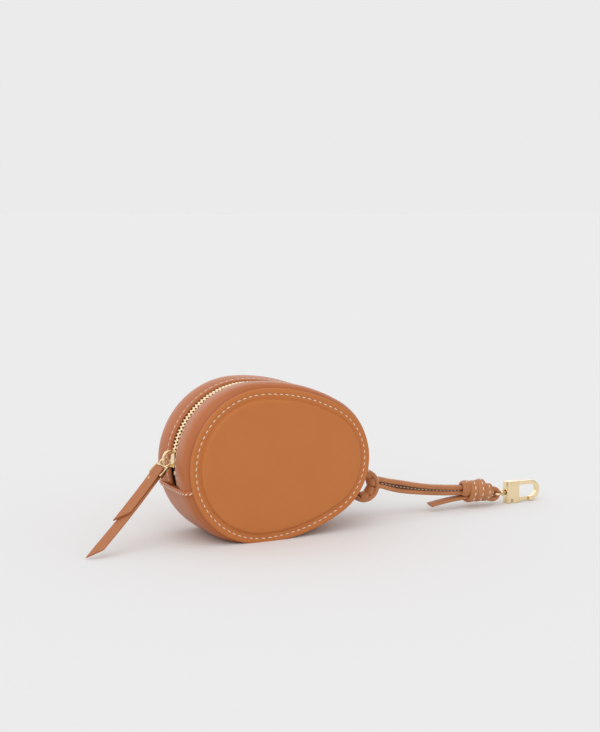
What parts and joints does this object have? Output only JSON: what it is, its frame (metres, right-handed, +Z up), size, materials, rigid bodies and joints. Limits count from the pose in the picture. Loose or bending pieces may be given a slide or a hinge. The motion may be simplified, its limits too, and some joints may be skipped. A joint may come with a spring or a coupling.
{
  "type": "zippered pouch",
  "caption": "egg-shaped leather pouch that stands on its edge, zipped round the top, with a folded leather pull and a knotted lace strap ending in a swivel clasp",
  "frame": {"origin": "on the surface the pouch stands on, at the flat bottom, below the centre of the round end", "axes": "+Z up; +X towards the narrow end and the strap; the front panel faces -Y"},
  "size_m": [0.3036, 0.053, 0.0863],
  "materials": {
    "tan_leather": "smooth vegetable-tanned calf, satin",
    "lace_leather": "folded and stitched leather lace, satin",
    "lining_cloth": "woven cotton lining",
    "stiffener_board": "plain fibre board",
    "zip_tape": "woven tape, dark brown",
    "gold_metal": "polished, pale gold plated",
    "spring_steel": "bare spring wire"
  },
  "bodies": {
    "pouch": {"front_panel": "tan_leather", "front_board": "stiffener_board", "front_lining": "lining_cloth", "back_panel": "tan_leather", "back_board": "stiffener_board", "back_lining": "lining_cloth", "lower_gusset": "tan_leather", "gusset_lining": "lining_cloth", "zip_strip_front": "tan_leather", "zip_strip_back": "tan_leather", "strip_lining_front": "lining_cloth", "strip_lining_back": "lining_cloth", "zip_tape_front": "zip_tape", "zip_tape_back": "zip_tape", "zip_teeth_front": "gold_metal", "zip_teeth_back": "gold_metal", "top_stop_front": "gold_metal", "top_stop_back": "gold_metal", "bottom_stop": "gold_metal", "anchor_tab": "tan_leather"},
    "slider": {"slider_body": "gold_metal"},
    "puller": {"pull_yoke": "gold_metal", "pull_pin": "gold_metal"},
    "pull_strip": {"pull_tab": "tan_leather"},
    "ring": {"anchor_ring": "gold_metal"},
    "strap": {"strap_hitch": "lace_leather", "strap_strand_upper": "lace_leather", "strap_strand_lower": "lace_leather", "strap_tail": "lace_leather", "strap_knot": "lace_leather", "strap_end_loop": "lace_leather"},
    "eye": {"swivel_eye": "gold_metal"},
    "clasp": {"clasp_body": "gold_metal", "gate_pin": "gold_metal", "gate_spring": "spring_steel"},
    "gate": {"clasp_gate": "gold_metal"}
  },
  "joints": [
    {"name": "zip_travel", "type": "hinge", "parent": "pouch", "child": "slider", "pos_m": [0, 0, 0.0423], "axis": [0, 1, 0], "range_deg": [0, 84], "deforming": ["zip_teeth_front", "zip_teeth_back"]},
    {"name": "puller_swing", "type": "hinge", "parent": "slider", "child": "puller", "pos_m": [-0.04717, 0, 0.04643], "axis": [-0.5632, 0.7818, 0.2677], "range_deg": [-8, 85]},
    {"name": "tab_swing", "type": "hinge", "parent": "puller", "child": "pull_strip", "pos_m": [-0.05337, -0.00263, 0.04107], "axis": [-0.5632, 0.7818, 0.2677], "range_deg": [-20, 50]},
    {"name": "ring_swing", "type": "hinge", "parent": "pouch", "child": "ring", "pos_m": [0.06762, 0, 0.02421], "axis": [0.4478, 0, 0.8942], "range_deg": [-60, 60]},
    {"name": "strap_pitch", "type": "hinge", "parent": "ring", "child": "strap", "pos_m": [0.07433, 0, 0.02085], "axis": [0, -1, 0], "range_deg": [-40, 50]},
    {"name": "eye_swing", "type": "hinge", "parent": "strap", "child": "eye", "pos_m": [0.16813, 0, 0.00695], "axis": [0, -1, 0], "range_deg": [-18, 18]},
    {"name": "clasp_swivel", "type": "hinge", "parent": "eye", "child": "clasp", "pos_m": [0.17733, 0, 0.00695], "axis": [1, 0, 0], "continuous": true},
    {"name": "gate_open", "type": "hinge", "parent": "clasp", "child": "gate", "pos_m": [0.18093, 0, 0.00175], "axis": [0, -1, 0], "range_deg": [0, 28], "stiffness_Nm_per_rad": 0.01, "springref_deg": -17.19}
  ]
}
